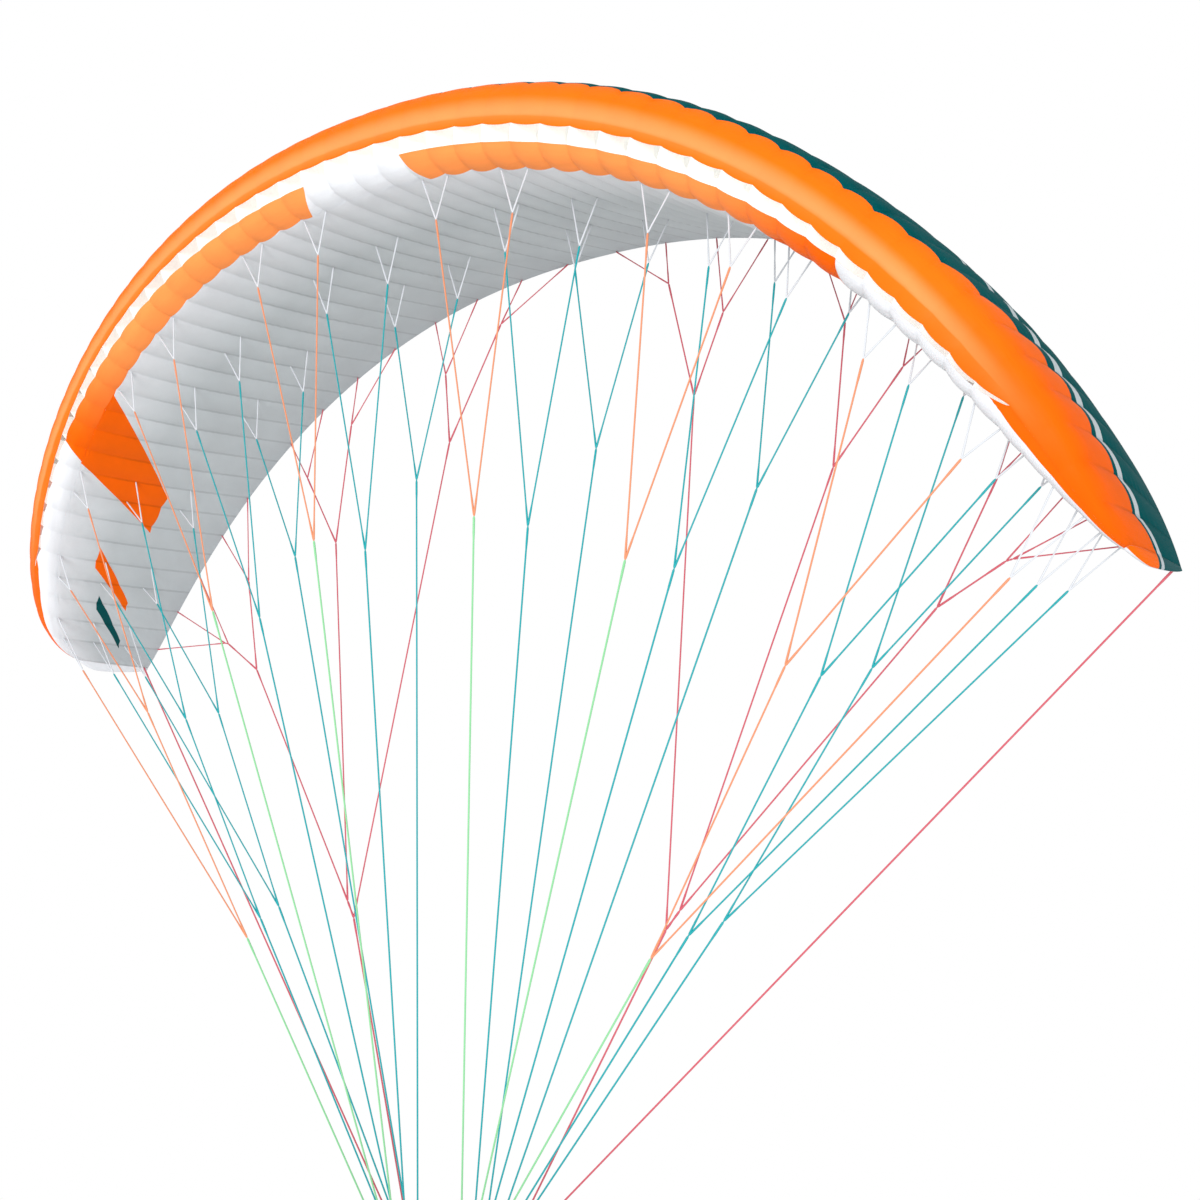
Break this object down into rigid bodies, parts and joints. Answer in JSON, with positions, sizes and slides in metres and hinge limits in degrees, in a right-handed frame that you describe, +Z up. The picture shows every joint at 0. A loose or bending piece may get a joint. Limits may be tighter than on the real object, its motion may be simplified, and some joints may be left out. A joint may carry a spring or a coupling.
{
  "type": "paraglider wing",
  "caption": "Inflated ram-air paraglider canopy with open cell inlets, forked suspension lines, brake lines, quick links and webbing risers.",
  "frame": {"origin": "hang point, midway between the two carabiner loops at the foot of the risers", "axes": "+X along the span to the wing's own left tip as it flies towards -Y, -Y the way the nose faces, +Z up from the pilot to the canopy"},
  "size_m": [8.3888, 2.2379, 7.2685],
  "materials": {
    "orange_ripstop": "coated ripstop nylon, faint gloss",
    "teal_ripstop": "coated ripstop nylon, faint gloss",
    "grey_ripstop": "coated ripstop nylon, faint gloss",
    "white_ripstop": "coated ripstop nylon, faint gloss",
    "green_line": "sheathed braid",
    "teal_line": "sheathed braid",
    "red_line": "sheathed braid",
    "steel": "polished stainless",
    "black_webbing": "woven webbing"
  },
  "bodies": {
    "root": {"brake_handle_left": "black_webbing", "brake_handle_right": "black_webbing", "brake_line_left": "red_line", "brake_line_right": "red_line", "brake_ring_left": "steel", "brake_ring_right": "steel", "brake_tab_left": "black_webbing", "brake_tab_right": "black_webbing", "carabiner_loop_left": "black_webbing", "carabiner_loop_right": "black_webbing", "front_band_left": "orange_ripstop", "front_band_right": "orange_ripstop", "front_centre": "white_ripstop", "front_tip_left": "white_ripstop", "front_tip_right": "white_ripstop", "line_a1_left": "green_line", "line_a1_right": "green_line", "line_a2_left": "green_line", "line_a2_right": "green_line", "line_a3_left": "green_line", "line_a3_right": "green_line", "line_b1_left": "teal_line", "line_b1_right": "teal_line", "line_b2_left": "teal_line", "line_b2_right": "teal_line", "line_b3_left": "teal_line", "line_b3_right": "teal_line", "line_c1_left": "teal_line", "line_c1_right": "teal_line", "line_c2_left": "teal_line", "line_c2_right": "teal_line", "line_c3_left": "teal_line", "line_c3_right": "teal_line", "link_a_left": "steel", "link_a_right": "steel", "link_b_left": "steel", "link_b_right": "steel", "link_c_left": "steel", "link_c_right": "steel", "lower_cloth_left": "grey_ripstop", "lower_cloth_right": "grey_ripstop", "nose_cloth_left": "orange_ripstop", "nose_cloth_right": "orange_ripstop", "ribs_left": "white_ripstop", "ribs_right": "white_ripstop", "riser_a_left": "black_webbing", "riser_a_right": "black_webbing", "riser_b_left": "black_webbing", "riser_b_right": "black_webbing", "riser_c_left": "black_webbing", "riser_c_right": "black_webbing", "tip_cap_left": "teal_ripstop", "tip_cap_right": "teal_ripstop", "tip_line_left": "red_line", "tip_line_right": "red_line", "upper_cloth_left": "teal_ripstop", "upper_cloth_right": "teal_ripstop"}
  },
  "joints": []
}
